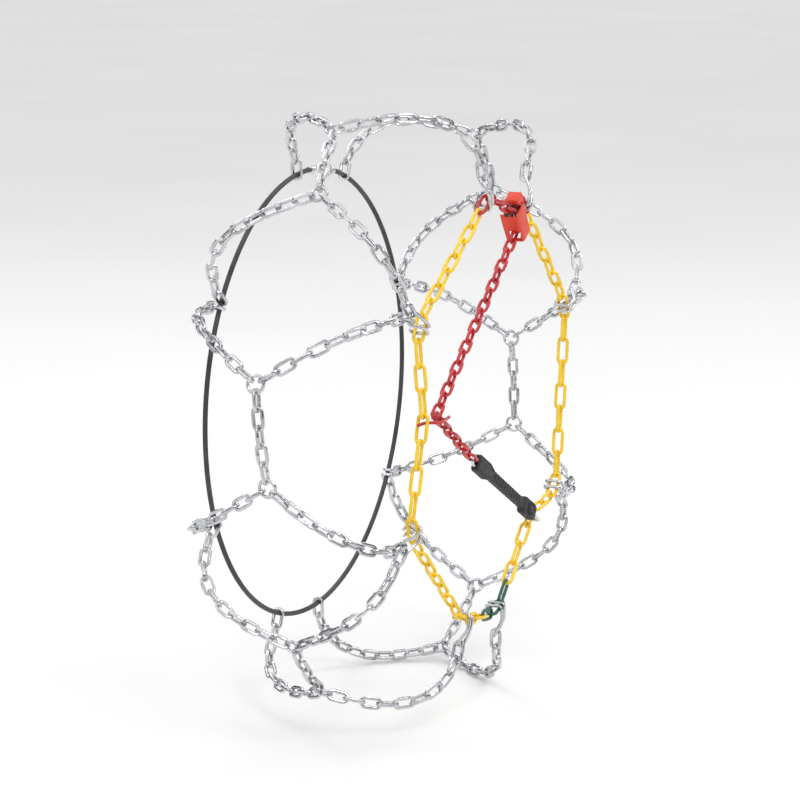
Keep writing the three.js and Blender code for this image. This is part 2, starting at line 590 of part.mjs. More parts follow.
const eyeRect = [[-1.5, -4.5], [22, -4.5], [22, 4.5], [-1.5, 4.5]].map(([s, b]) => strapPoint(s, b, 0));
add("tensioner_eye", bar(eyeRect, square(1.5), AXLE, true), "steel");
const hookPath = [[STRAP.hookStart, 0], [hookReach, 0], [hookReach, 12]].map(([s, y]) => strapPoint(s, 0, y));
add("tensioner_hook", bar(hookPath, square(1.6), strapB), "steel");

export default group;
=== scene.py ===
"""The looks of a tyre snow chain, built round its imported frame.

Shapes are worked out in millimetres, in the frame's own axes (+Y is the axle, +Z is up), and scaled to
metres when a mesh is made.
"""

import json
import math

import bmesh
import bpy
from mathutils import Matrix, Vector

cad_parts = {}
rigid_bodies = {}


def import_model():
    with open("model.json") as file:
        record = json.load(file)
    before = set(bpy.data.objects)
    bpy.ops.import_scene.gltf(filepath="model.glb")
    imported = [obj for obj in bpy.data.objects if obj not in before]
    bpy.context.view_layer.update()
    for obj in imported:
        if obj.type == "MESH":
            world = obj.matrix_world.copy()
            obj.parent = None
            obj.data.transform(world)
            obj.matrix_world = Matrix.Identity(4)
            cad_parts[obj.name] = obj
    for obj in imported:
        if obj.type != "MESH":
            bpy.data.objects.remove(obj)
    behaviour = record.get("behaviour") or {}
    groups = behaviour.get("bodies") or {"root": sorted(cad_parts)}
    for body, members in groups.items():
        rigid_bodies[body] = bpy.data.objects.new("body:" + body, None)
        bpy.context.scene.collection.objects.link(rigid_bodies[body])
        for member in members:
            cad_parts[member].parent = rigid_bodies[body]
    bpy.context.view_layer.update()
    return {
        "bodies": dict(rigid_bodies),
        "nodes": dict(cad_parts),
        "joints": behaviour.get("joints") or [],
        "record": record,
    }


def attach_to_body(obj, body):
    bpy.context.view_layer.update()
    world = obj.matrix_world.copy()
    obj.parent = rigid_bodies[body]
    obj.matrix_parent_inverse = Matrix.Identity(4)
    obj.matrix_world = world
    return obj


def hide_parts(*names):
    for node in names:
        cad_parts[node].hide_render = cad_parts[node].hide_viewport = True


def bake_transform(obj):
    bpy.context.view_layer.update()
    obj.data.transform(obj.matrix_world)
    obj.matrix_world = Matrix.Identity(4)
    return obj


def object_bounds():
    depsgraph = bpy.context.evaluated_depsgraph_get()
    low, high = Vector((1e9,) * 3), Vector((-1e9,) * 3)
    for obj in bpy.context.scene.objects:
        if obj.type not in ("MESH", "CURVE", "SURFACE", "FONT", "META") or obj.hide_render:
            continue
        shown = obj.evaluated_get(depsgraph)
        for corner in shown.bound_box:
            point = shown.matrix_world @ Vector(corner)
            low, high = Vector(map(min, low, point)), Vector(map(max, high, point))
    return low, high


MM = 0.001
AXLE = Vector((0, 1, 0))

# ---- Driving dimensions, as in the frame ----------------------------------------------------
HALF_WIDTH, HEIGHT, CORE_RADIUS, POWER = 101, 79.5, 235, 3
SIDE_Y, SIDE_RADIUS, TENSION_Y = -101, 211, -108.5
HOOP_Y, HOOP_RADIUS, HOOP_CABLE, HOOP_JOINT, HOOP_GAP = 101, 230, 2.5, 83, 7
ATTACH = [97, 148, 202.5, 250, 273.5, 326, 20, 69]
CELLS = {
    "front_upper": (0, 1, (11, -10)),
    "front_middle": (1, 2, (7, -8)),
    "front_lower": (2, 3, (-1, 1)),
    "rear_lower": (4, 5, (2, -3)),
    "rear_middle": (5, 6, (-4, 5)),
    "rear_upper": (6, 7, (3, -2)),
}
RING_SPAN, RING_RADIUS, RING_WIRE = 17.4, 8.15, 3.2
OUTER_LINKS, INNER_LINKS, CENTRE_LINKS = 10, 11, 5
CROSS_PITCH = 17
SILVER = {"wire": 3.3, "width": 12.5, "square": 0.62}
YELLOW = {"wire": 3.3, "width": 13, "square": 0.8}
RED = {"wire": 3.2, "width": 12, "square": 0.9}
SIDE_PITCH, TAIL_PITCH = 24.4, 14.2
HOOK = {"wire": 3.2, "spread": 3.4, "crossbar": 7.8, "reach": 28, "clear": 0.35}
GUIDE_TURN, SIDE_BOW, STRAP_BOW = (-159.6, 24.9), (-170.7, 26.4), (107.9, -137.2)
TAIL_DIRECTION = Vector((0.832, 0, -0.554)).normalized()
LOCK = {"centre": (45, 184), "tilt": 32, "y": -107, "bottom": -17.5, "top": 17, "depth": 9.25,
        "left": -12.5, "right": 13.5, "wall": 1.4, "cheek": 6.95}
PAWL_PIN = (9, 14.5)
# e runs along the guide rod, from the side chain's link to the tension chain's; tip and bend are (e, y).
GUIDE = {"wire": 3.2, "below": 7.2, "tip": (-7.5, -99.6), "bend": (3.3, -102.6), "rise": 7.8, "front": -116.4,
         "beyond_pin": 9}
SPREAD = 7.2  # how far the last link but one of a diagonal stands to the side of the hook that it shares
SHARED_STEP = 3  # the same for the end of the diagonal


# ---- Small helpers --------------------------------------------------------------------------
def polar(degrees, radius, y=0.0):
    turn = math.radians(degrees)
    return Vector((radius * math.cos(turn), y, radius * math.sin(turn)))


def degrees_of(point):
    return math.degrees(math.atan2(point.z, point.x))


def toward(a, b):
    return (b - a).normalized()


def square_off(vector, direction):
    """The part of vector that is square to direction, as a unit vector."""
    return (vector - direction * vector.dot(direction)).normalized()


def signed_power(value, power):
    return math.copysign(abs(value) ** power, value)


def smooth_between(low, high, value):
    t = min(max((value - low) / (high - low), 0), 1)
    return t * t * (3 - 2 * t)


# ---- The surface under the net --------------------------------------------------------------
def laid(degrees, phi):
    side = HALF_WIDTH * signed_power(math.sin(phi), 2 / POWER)
    radius = CORE_RADIUS + HEIGHT * signed_power(math.cos(phi), 2 / POWER)
    return polar(degrees, radius, side)


def phi_at_side(y):
    return math.copysign(math.asin((abs(y) / HALF_WIDTH) ** (POWER / 2)), y)


def phi_at_radius(radius, sign):
    rise = (radius - CORE_RADIUS) / HEIGHT
    return sign * math.acos(signed_power(rise, POWER / 2))


def outward(point):
    radial = Vector((point.x, 0, point.z))
    rise = (radial.length - CORE_RADIUS) / HEIGHT
    across = signed_power(point.y / HALF_WIDTH, POWER - 1) / HALF_WIDTH
    return (radial.normalized() * signed_power(rise, POWER - 1) / HEIGHT + AXLE * across).normalized()


def laid_path(from_degrees, from_phi, to_degrees, to_phi, samples=160):
    """A path over the surface whose angle grows evenly with the length of section it has covered."""
    phis = [from_phi + (to_phi - from_phi) * i / samples for i in range(samples + 1)]
    profile = [laid(0, phi) for phi in phis]
    covered = [0.0]
    for a, b in zip(profile, profile[1:]):
        covered.append(covered[-1] + (b - a).length)
    turn = to_degrees - from_degrees
    return [laid(from_degrees + turn * c / covered[-1], phi) for c, phi in zip(covered, phis)]


def spaced(path, count, trim=0.0):
    """Points at equal distances along a path, from trim after its start to its end."""
    covered = [0.0]
    for a, b in zip(path, path[1:]):
        covered.append(covered[-1] + (b - a).length)
    found = []
    for i in range(count + 1):
        wanted = trim + (covered[-1] - trim) * i / count
        at = next((k for k in range(1, len(path)) if covered[k] >= wanted - 1e-9), len(path) - 1)
        share = (wanted - covered[at - 1]) / (covered[at] - covered[at - 1])
        found.append(path[at - 1].lerp(path[at], min(share, 1)))
    return found


# ---- Mesh building --------------------------------------------------------------------------
class Shape:
    """Vertices in millimetres, faces, and how much each vertex is rubbed by a neighbour."""

    def __init__(self):
        self.points, self.faces, self.wear = [], [], []

    def skin(self, rows, closed=False, wear=None):
        """A skin over a row of closed outlines of equal length."""
        first, sides = len(self.points), len(rows[0])
        for i, row in enumerate(rows):
            self.points += row
            self.wear += wear[i] if wear else [0.0] * sides
        for i in range(len(rows) if closed else len(rows) - 1):
            here, there = first + i * sides, first + (i + 1) % len(rows) * sides
            for k in range(sides):
                m = (k + 1) % sides
                self.faces.append((here + k, here + m, there + m, there + k))
        if not closed:
            self.faces.append(tuple(range(first, first + sides))[::-1])
            last = first + (len(rows) - 1) * sides
            self.faces.append(tuple(range(last, last + sides)))
        return self


def section(half, squareness=1.0, count=12):
    """A wire's section: round at squareness 1, and flatter on its sides below that."""
    turns = [2 * math.pi * (k + 0.5) / count for k in range(count)]
    reach = half * (1 + 0.06 * (1 - squareness))
    return [(reach * signed_power(math.cos(t), squareness), reach * signed_power(math.sin(t), squareness))
            for t in turns]


def filleted(points, radius, closed=False, steps=5):
    """The same path with each corner rounded off."""
    path = []
    for i, point in enumerate(points):
        if not closed and i in (0, len(points) - 1):
            path.append(point)
            continue
        before, after = points[i - 1], points[(i + 1) % len(points)]
        reach = min(radius, (before - point).length / 2.02, (after - point).length / 2.02)
        start, end = point + toward(point, before) * reach, point + toward(point, after) * reach
        for k in range(steps + 1):
            t = k / steps
            path.append(start * (1 - t) ** 2 + point * 2 * t * (1 - t) + end * t * t)
    return path


def sweep(shape, path, outline, up, closed=False):
    """A bar of one section along a smooth path, whose section doesn't twist."""
    count = len(path)
    tangents = []
    for i in range(count):
        before = path[i - 1] if closed or i else path[0]
        after = path[(i + 1) % count] if closed or i < count - 1 else path[-1]
        tangents.append(toward(before, after))
    side = square_off(up, tangents[0])
    rows = []
    for i, point in enumerate(path):
        if i:
            side = tangents[i - 1].rotation_difference(tangents[i]) @ side
        side = square_off(side, tangents[i])
        other = tangents[i].cross(side)
        rows.append([point + side * a + other * b for a, b in outline])
    return shape.skin(rows, closed)


def turned(shape, base, axis, profile, sides=32):
    """A round body: profile lists (distance along the axis, radius)."""
    axis = axis.normalized()
    side = square_off(Vector((0.31, 0.47, 0.83)), axis)
    other = axis.cross(side)
    turns = [2 * math.pi * k / sides for k in range(sides)]
    rows = [[base + axis * h + (side * math.cos(t) + other * math.sin(t)) * r for t in turns]
            for h, r in profile]
    return shape.skin(rows)


def link(shape, start, end, across, kind, start_gap=0.0, end_gap=0.0):
    """One welded oval link between its two contact points; it is worn where its neighbours bear on it."""
    direction = toward(start, end)
    sideways = square_off(across, direction)
    normal = sideways.cross(direction)
    half, bend = kind["wire"] / 2, (kind["width"] - kind["wire"]) / 2
    near = start + direction * (bend - half - start_gap)
    far = end - direction * (bend - half - end_gap)
    outline = section(half, kind["square"])
    stations = []
    for centre, sign in ((near, -1), (far, 1)):
        for k in range(9):
            turn = math.pi * (k / 8 - 0.5)
            out = (direction * math.cos(turn) + sideways * math.sin(turn)) * sign
            stations.append((centre + out * bend, out, math.cos(turn), 1.0))
        if sign < 0:
            weld = near.lerp(far, 0.5) - sideways * sign * -bend
            reach = min((far - near).length / 2 - 0.3, 1.6)
            for place, size in ((-1, 1.0), (-0.45, 1.09), (0, 1.13), (0.45, 1.09), (1, 1.0)):
                stations.append((weld + direction * place * reach, -sideways, 0.0, size))
    rows, wear = [], []
    for point, out, apex, size in stations:
        rows.append([point + (out * a + normal * b) * size for a, b in outline])
        wear.append([max(apex, 0) ** 2 * (0.5 - 0.5 * a / half) for a, b in outline])
    shape.skin(rows, True, wear)


# ---- Materials ------------------------------------------------------------------------------
def new_material(name):
    material = bpy.data.materials.new(name)
    material.use_nodes = True
    nodes, links = material.node_tree.nodes, material.node_tree.links
    return material, nodes, links, nodes["Principled BSDF"]


def noise(nodes, links, scale, detail=4.0, distortion=0.0, stretch=None):
    """Noise over the object's own coordinates; scale is in features per metre."""
    place = nodes.new("ShaderNodeTexCoord").outputs["Object"]
    if stretch:
        mapping = nodes.new("ShaderNodeMapping")
        mapping.inputs["Scale"].default_value = stretch
        links.new(place, mapping.inputs["Vector"])
        place = mapping.outputs["Vector"]
    made = nodes.new("ShaderNodeTexNoise")
    made.inputs["Scale"].default_value = scale
    made.inputs["Detail"].default_value = detail
    made.inputs["Distortion"].default_value = distortion
    links.new(place, made.inputs["Vector"])
    return made.outputs["Fac"]


def ramp(nodes, links, value, stops):
    made = nodes.new("ShaderNodeValToRGB")
    elements = made.color_ramp.elements
    while len(elements) < len(stops):
        elements.new(0.5)
    for element, (place, colour) in zip(elements, stops):
        element.position = place
        element.color = colour if len(colour) == 4 else (*colour, 1)
    links.new(value, made.inputs["Fac"])
    return made.outputs["Color"]


def grey(value):
    return (value, value, value)


def bump(nodes, links, shader, height, strength, distance):
    made = nodes.new("ShaderNodeBump")
    made.inputs["Strength"].default_value = strength
    made.inputs["Distance"].default_value = distance
    links.new(height, made.inputs["Height"])
    links.new(made.outputs["Normal"], shader.inputs["Normal"])


def mixed(nodes, links, share, a, b):
    made = nodes.new("ShaderNodeMix")
    made.data_type = "RGBA"
    links.new(share, made.inputs["Factor"])
    for value, socket in ((a, made.inputs["A"]), (b, made.inputs["B"])):
        if isinstance(value, tuple):
            socket.default_value = (*value, 1)
        else:
            links.new(value, socket)
    return made.outputs["Result"]


def sum_of(nodes, links, a, b, factor):
    """a + b * factor."""
    made = nodes.new("ShaderNodeMath")
    made.operation = "MULTIPLY_ADD"
    links.new(b, made.inputs[0])
    made.inputs[1].default_value = factor
    links.new(a, made.inputs[2])
    return made.outputs[0]


def wear_of(nodes):
    made = nodes.new("ShaderNodeAttribute")
    made.attribute_name = "wear"
    return made.outputs["Fac"]


def metal(name, dark, light, roughness, streak=(1, 1, 1)):
    """Plated steel: patchy brightness, fine scratches, and a polish where links rub."""
    material, nodes, links, shader = new_material(name)
    patches = ramp(nodes, links, noise(nodes, links, 55, 5, 0.6), [(0.3, dark), (0.62, light)])
    worn = sum_of(nodes, links, wear_of(nodes), noise(nodes, links, 900, 3), 0.35)
    rubbed = ramp(nodes, links, worn, [(0.55, grey(0)), (0.95, grey(1))])
    shine = tuple(min(1, c * 1.12) for c in light)
    links.new(mixed(nodes, links, rubbed, patches, shine), shader.inputs["Base Color"])
    low, high = roughness
    scratches = noise(nodes, links, 260, 6, 0.3, streak)
    rough = ramp(nodes, links, scratches, [(0.35, grey(low)), (0.7, grey(high))])
    links.new(rough, shader.inputs["Roughness"])
    shader.inputs["Metallic"].default_value = 1.0
    bump(nodes, links, shader, noise(nodes, links, 700, 5, 0.4, streak), 0.16, 0.0004)
    return material


def lacquer(name, deep, bright, chip_share=0.9):
    """Dipped paint over steel: pooled colour, orange-peel skin and bare metal where links rub."""
    material, nodes, links, shader = new_material(name)
    colour = ramp(nodes, links, noise(nodes, links, 70, 4, 0.5), [(0.3, deep), (0.68, bright)])
    worn = sum_of(nodes, links, wear_of(nodes), noise(nodes, links, 650, 5, 0.8), 0.9)
    bare = ramp(nodes, links, worn, [(chip_share + 0.28, grey(0)), (chip_share + 0.42, grey(1))])
    links.new(mixed(nodes, links, bare, colour, (0.42, 0.41, 0.40)), shader.inputs["Base Color"])
    links.new(bare, shader.inputs["Metallic"])
    rough = ramp(nodes, links, noise(nodes, links, 180, 5), [(0.3, grey(0.27)), (0.75, grey(0.46))])
    links.new(rough, shader.inputs["Roughness"])
    shader.inputs["Coat Weight"].default_value = 0.35
    shader.inputs["Coat Roughness"].default_value = 0.18
    bump(nodes, links, shader, noise(nodes, links, 420, 3, 0.2), 0.12, 0.0004)
    return material


def moulded(name, deep, bright, roughness, grain, strength, coat=0.0):
    """Moulded plastic or rubber: slight colour change, fine grain and scuffs."""
    material, nodes, links, shader = new_material(name)
    colour = ramp(nodes, links, noise(nodes, links, 38, 5, 0.8), [(0.32, deep), (0.7, bright)])
    links.new(colour, shader.inputs["Base Color"])
    low, high = roughness
    scuffs = noise(nodes, links, 130, 8, 1.4, (1, 1, 3))
    links.new(ramp(nodes, links, scuffs, [(0.36, grey(low)), (0.66, grey(high))]), shader.inputs["Roughness"])
    shader.inputs["Coat Weight"].default_value = coat
    shader.inputs["Coat Roughness"].default_value = 0.25
    bump(nodes, links, shader, noise(nodes, links, grain, 4), strength, 0.0004)
    return material


def sleeve_material():
    """A plastic sleeve with the strands of the wire rope showing faintly through it."""
    material, nodes, links, shader = new_material("cable_sleeve")
    stops = [(0.3, (0.018, 0.019, 0.022)), (0.7, (0.05, 0.052, 0.058))]
    colour = ramp(nodes, links, noise(nodes, links, 45, 4), stops)
    links.new(colour, shader.inputs["Base Color"])
    shader.inputs["Roughness"].default_value = 0.5
    strands = noise(nodes, links, 330, 2, 1.5)
    bump(nodes, links, shader, strands, 0.35, 0.0006)
    return material


LOOKS = {
    "zinc_steel": metal("zinc_steel", (0.40, 0.41, 0.43), (0.66, 0.67, 0.69), (0.16, 0.32)),
    "bright_steel": metal("bright_steel", (0.50, 0.50, 0.50), (0.76, 0.76, 0.75), (0.18, 0.34), (1, 1, 5)),
    "yellow_paint": lacquer("yellow_paint", (0.84, 0.52, 0.010), (0.93, 0.64, 0.016)),
    "red_paint": lacquer("red_paint", (0.40, 0.011, 0.016), (0.57, 0.020, 0.025)),
    "green_paint": lacquer("green_paint", (0.006, 0.065, 0.038), (0.012, 0.11, 0.06)),
    "red_plastic": moulded("red_plastic", (0.66, 0.035, 0.010), (0.76, 0.055, 0.016), (0.38, 0.54),
                           grain=1500, strength=0.1, coat=0.1),
    "black_rubber": moulded("black_rubber", (0.007, 0.007, 0.008), (0.017, 0.017, 0.019), (0.5, 0.72),
                            grain=950, strength=0.3),
    "cable_sleeve": sleeve_material(),
}


# ---- Pieces ---------------------------------------------------------------------------------
def mesh_of(name, shape):
    mesh = bpy.data.meshes.new(name)
    mesh.from_pydata([point * MM for point in shape.points], [], shape.faces)
    mesh.attributes.new("wear", "FLOAT", "POINT").data.foreach_set("value", shape.wear)
    edit = bmesh.new()
    edit.from_mesh(mesh)
    bmesh.ops.recalc_face_normals(edit, faces=edit.faces)
    edit.to_mesh(mesh)
    edit.free()
    return mesh


def piece(name, shape, slot, body, *nodes, sharp=40, cutters=(), bevel=0.0):
    """One visible piece of the object, which stands for these nodes of the frame."""
    made = bpy.data.objects.new(name, mesh_of(name, shape))
    bpy.context.collection.objects.link(made)
    for cutter in cutters:
        tool = bpy.data.objects.new(name + "_cutter", mesh_of(name + "_cutter", cutter))
        bpy.context.collection.objects.link(tool)
        modifier = made.modifiers.new("cut", "BOOLEAN")
        modifier.operation, modifier.solver, modifier.object = "DIFFERENCE", "EXACT", tool
    if bevel:
        modifier = made.modifiers.new("edges", "BEVEL")
        modifier.width, modifier.segments, modifier.limit_method = bevel * MM, 2, "ANGLE"
        modifier.angle_limit = math.radians(35)
    if made.modifiers:
        made.data = bpy.data.meshes.new_from_object(made.evaluated_get(bpy.context.evaluated_depsgraph_get()))
        made.modifiers.clear()
        for tool in [o for o in bpy.data.objects if o.name.startswith(name + "_cutter")]:
            bpy.data.objects.remove(tool)
    made.data.shade_smooth()
    made.data.set_sharp_from_angle(angle=math.radians(sharp))
    made.data.materials.clear()
    made.data.materials.append(LOOKS[slot])
    if body:
        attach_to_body(made, body)
    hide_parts(*nodes)
    return made


def across_directions(points, twist):
    """Flat and upright links take turns, and the whole run turns by twist degrees."""
    count = len(points) - 1
    found = []
    for i in range(count):
        direction = toward(points[i], points[i + 1])
        normal = square_off(outward(points[i].lerp(points[i + 1], 0.5)), direction)
        turn = i * math.pi / 2 + math.radians(twist) * i / (count - 1)
        found.append(normal * math.cos(turn) + direction.cross(normal) * math.sin(turn))
    return found


def silver_run(shape, points, twist):
    for i, across in enumerate(across_directions(points, twist)):
        link(shape, points[i], points[i + 1], across, SILVER)


def ring(shape, centre):
    normal = outward(centre)
    side = square_off(AXLE, normal)
    other = normal.cross(side)
    rows, wear = [], []
    outline = section(RING_WIRE / 2, 0.85)
    for k in range(36):
        turn = 2 * math.pi * k / 36
        out = side * math.cos(turn) + other * math.sin(turn)
        size = 1 + 0.12 * max(0, 1 - abs(k - 9) / 2)
        rows.append([centre + out * (RING_RADIUS + a * size) + normal * b * size for a, b in outline])
        wear.append([0.45 * (0.5 - a / RING_WIRE) for a, b in outline])
    shape.skin(rows, True, wear)


def diagonal(ring_degrees, ring_phi, end_degrees, side, outer):
    """One diagonal of the net, from a ring to its side hook or to the rear hoop."""
    end_radius = SIDE_RADIUS + HOOK["reach"] - 2.6 if outer else HOOP_RADIUS - HOOP_CABLE - 0.2
    sign = -1 if outer else 1
    turn_in = end_radius + CROSS_PITCH
    shift = math.degrees(side * SPREAD / turn_in)
    path = laid_path(ring_degrees, ring_phi, end_degrees + shift, phi_at_radius(turn_in, sign))
    end = laid(end_degrees + math.degrees(side * SHARED_STEP / end_radius), phi_at_radius(end_radius, sign))
    count = OUTER_LINKS if outer else INNER_LINKS
    shape = Shape()
    silver_run(shape, [*spaced(path, count - 1, RING_RADIUS - RING_WIRE / 2 - 0.1), end], 90 if outer else 0)
    return shape


def make_net():
    ends = [end for cell in CELLS.values() for end in cell[:2]]
    for name, (first, last, drift) in CELLS.items():
        start_degrees = ATTACH[first]
        end_degrees = ATTACH[last] + (360 if ATTACH[last] < start_degrees else 0)
        middle = (start_degrees + end_degrees) / 2
        rings = [(middle + sign * RING_SPAN / 2, phi_at_side(y)) for sign, y in zip((-1, 1), drift)]
        a, b = (laid(*place) for place in rings)
        inside = RING_RADIUS - RING_WIRE / 2
        flat = [(a + toward(a, b) * inside).lerp(b - toward(a, b) * inside, i / CENTRE_LINKS)
                for i in range(CENTRE_LINKS + 1)]
        crown = Vector((a.x, 0, a.z)).length
        points = [Vector((p.x, 0, p.z)).normalized() * crown + AXLE * p.y for p in flat]
        shape = Shape()
        silver_run(shape, points, 0)
        ring(shape, a)
        ring(shape, b)
        piece(f"centre_links_{name}", shape, "zinc_steel", "net", f"centre_run_{name}")
        for at, place in enumerate(("before", "after")):
            end = (first, last)[at]
            side = (-1 if at else 1) if ends.count(end) > 1 else 0
            target = end_degrees if at else start_degrees
            for outer, row in ((True, "outer"), (False, "inner")):
                piece(f"{row}_links_{name}_{place}", diagonal(*rings[at], target, side, outer), "zinc_steel",
                      "net", f"{row}_cross_{name}_{place}")


# ---- Side chain, tension chain and their hooks ----------------------------------------------
attach = [polar(degrees, SIDE_RADIUS, SIDE_Y) for degrees in ATTACH]
strap_bow = Vector((STRAP_BOW[0], SIDE_Y, STRAP_BOW[1]))
side_bow = Vector((SIDE_BOW[0], SIDE_Y, SIDE_BOW[1]))
corners = [*attach[:2], side_bow, *attach[2:5], strap_bow, *attach[5:]]


def held_direction(point):
    at = corners.index(point)
    before, after = corners[max(at - 1, 0)], corners[min(at + 1, len(corners) - 1)]
    return (toward(before, point) + toward(point, after)).normalized()


def held_end(point):
    return point + held_direction(point) * SIDE_PITCH / 2


def held_start(point):
    return point - held_direction(point) * SIDE_PITCH / 2


def straight(start, end, count):
    return [start.lerp(end, (i + 1) / count) for i in range(count)]


def chain_run(shape, points, upright, kind):
    for i, (start, end) in enumerate(zip(points, points[1:])):
        standing = (i % 2 == 0) == upright
        across = AXLE if standing else toward(start, end).cross(AXLE)
        link(shape, start, end, across, kind)


def make_side_chain():
    at1, at2, at3, at4, at5, at6, at7, at8 = attach
    green_start = held_end(at4).lerp(held_start(at5), 2 / 3)
    rear_start = held_end(at5).lerp(held_start(strap_bow), 1 / 4)
    first, second, third = held_end(at1), held_end(at2), held_end(at3)
    runs = {
        "side_chain_front_upper": ([first, *straight(first, held_start(at2), 7), second], False,
                                   "yellow_paint"),
        "side_chain_front_middle": ([second, *straight(second, side_bow, 3),
                                     *straight(side_bow, held_start(at3), 4), third], False, "yellow_paint"),
        "side_chain_front_lower": ([third, *straight(third, held_start(at4), 7), held_end(at4),
                                    *straight(held_end(at4), green_start, 2)], False, "yellow_paint"),
        "closing_link": ([green_start, held_start(at5), held_end(at5), rear_start], False, "green_paint"),
        "side_chain_rear_lower": ([rear_start, *straight(rear_start, held_start(strap_bow), 3),
                                   held_end(strap_bow), *straight(held_end(strap_bow), held_start(at6), 2),
                                   held_end(at6)], True, "yellow_paint"),
        "side_chain_rear_middle": ([held_end(at6), *straight(held_end(at6), held_start(at7), 7),
                                    held_end(at7)], False, "yellow_paint"),
        "side_chain_rear_upper": ([held_end(at7), *straight(held_end(at7), held_start(at8), 7)], False,
                                  "yellow_paint"),
        "side_chain_end": ([held_start(at8), held_end(at8)], True, "red_paint"),
    }
    for name, (points, upright, slot) in runs.items():
        shape = Shape()
        chain_run(shape, points, upright, YELLOW)
        piece(name + "_links", shape, slot, "net", name)


def make_side_hooks():
    """One bent wire each: two prongs wrap a standing link, and the crossbar holds the diagonals."""
    out = HOOK["clear"] + HOOK["wire"] / 2
    beside, below = YELLOW["width"] / 2 + out, -(YELLOW["wire"] / 2 + out)
    prong = [(3, beside), (below, beside), (below, -beside), (12, -beside), (HOOK["reach"], 0)]
    for i, point in enumerate(attach):
        chain, radial = held_direction(point), polar(degrees_of(point), 1)
        path = []
        for sign in (1, -1):
            half = [point + chain * sign * (HOOK["crossbar"] if rise == HOOK["reach"] else HOOK["spread"])
                    + radial * rise + AXLE * y for rise, y in prong]
            path += half if sign > 0 else half[::-1]
        shape = Shape()
        sweep(shape, filleted(path, 4.2), section(HOOK["wire"] / 2, 0.75), chain)
        piece(f"side_hook_wire_{i + 1}", shape, "zinc_steel", "net", f"side_hook_{i + 1}")


guide_turn = Vector((GUIDE_TURN[0], TENSION_Y, GUIDE_TURN[1]))
tail_hinge = guide_turn + TAIL_DIRECTION * TAIL_PITCH
eye_contact = guide_turn + TAIL_DIRECTION * 8 * TAIL_PITCH
lock_u, lock_w = polar(LOCK["tilt"], 1), polar(LOCK["tilt"] + 90, 1)
lock_centre = Vector((LOCK["centre"][0], LOCK["y"], LOCK["centre"][1]))


def lock_point(u, w, y=0.0):
    return lock_centre + lock_u * u + lock_w * w + AXLE * y


def make_tension_chain():
    first_end = held_start(attach[0])
    route = [first_end, lock_point(-9.5, 23), lock_point(0, 12), lock_point(0, -9), guide_turn]
    points = [held_end(attach[0]), *spaced(route, 24), tail_hinge]
    shape = Shape()
    link(shape, points[0], points[1], AXLE, YELLOW)
    chain_run(shape, points[1:], False, RED)
    piece("tension_links", shape, "red_paint", "net", "tension_chain")
    shape = Shape()
    chain_run(shape, [tail_hinge.lerp(eye_contact, i / 7) for i in range(8)], True, RED)
    piece("tension_tail_links", shape, "red_paint", "tail", "tension_chain_tail")


def make_guide_hook():
    """A rod through a standing link of the side chain, whose pin sits in the tension chain's link."""
    threaded = side_bow + toward(side_bow, held_start(attach[2])) * GUIDE["below"]
    pin_target = guide_turn.lerp(tail_hinge, 0.5)
    pin_target.y = SIDE_Y
    along = toward(threaded, pin_target)
    reach = (pin_target - threaded).length
    front = GUIDE["front"]

    def place(e, y):
        point = threaded + along * e
        return Vector((point.x, y, point.z))

    up = along.cross(AXLE)
    shape = Shape()
    bends = (GUIDE["tip"], GUIDE["bend"], (GUIDE["rise"], front), (reach + GUIDE["beyond_pin"], front))
    sweep(shape, filleted([place(e, y) for e, y in bends], 3.4), section(GUIDE["wire"] / 2, 0.95), up)
    turned(shape, place(reach, front), AXLE, [(0, 1.5), (13.4, 1.5), (14.4, 0.9)], 16)
    piece("guide_rod", shape, "red_paint", "net", "guide_hook")


# ---- Lock -----------------------------------------------------------------------------------
def box_shape(corner, edges):
    """A box from one corner and its three edges."""
    a, b, c = edges
    rows = [[corner + c * t, corner + a + c * t, corner + a + b + c * t, corner + b + c * t] for t in (0, 1)]
    return Shape().skin(rows)


def lock_box(u, w, y, hu, hw, hy):
    return box_shape(lock_point(u - hu, w - hw, y - hy), (lock_u * 2 * hu, lock_w * 2 * hw, AXLE * 2 * hy))


def cover_outline(height, inset):
    """The cover's section at one height: a U that opens to the wheel, with both front edges rounded."""
    narrow = 1.6 * (1 - smooth_between(0, 0.75, height))
    left, right = LOCK["left"] + narrow + inset, LOCK["right"] - 0.4 * narrow - inset
    front, back = -LOCK["depth"] + inset, LOCK["depth"]
    outline = [(left, back)]
    for radius, inward, first in ((3.2 - inset / 2, 1, 180), (6.4 - inset / 2, -1, 270)):
        centre = (left if inward > 0 else right) + inward * radius
        for k in range(7):
            turn = math.radians(first + 15 * k)
            outline.append((centre + radius * math.cos(turn), front + radius + radius * math.sin(turn)))
    return [*outline, (right, back)]


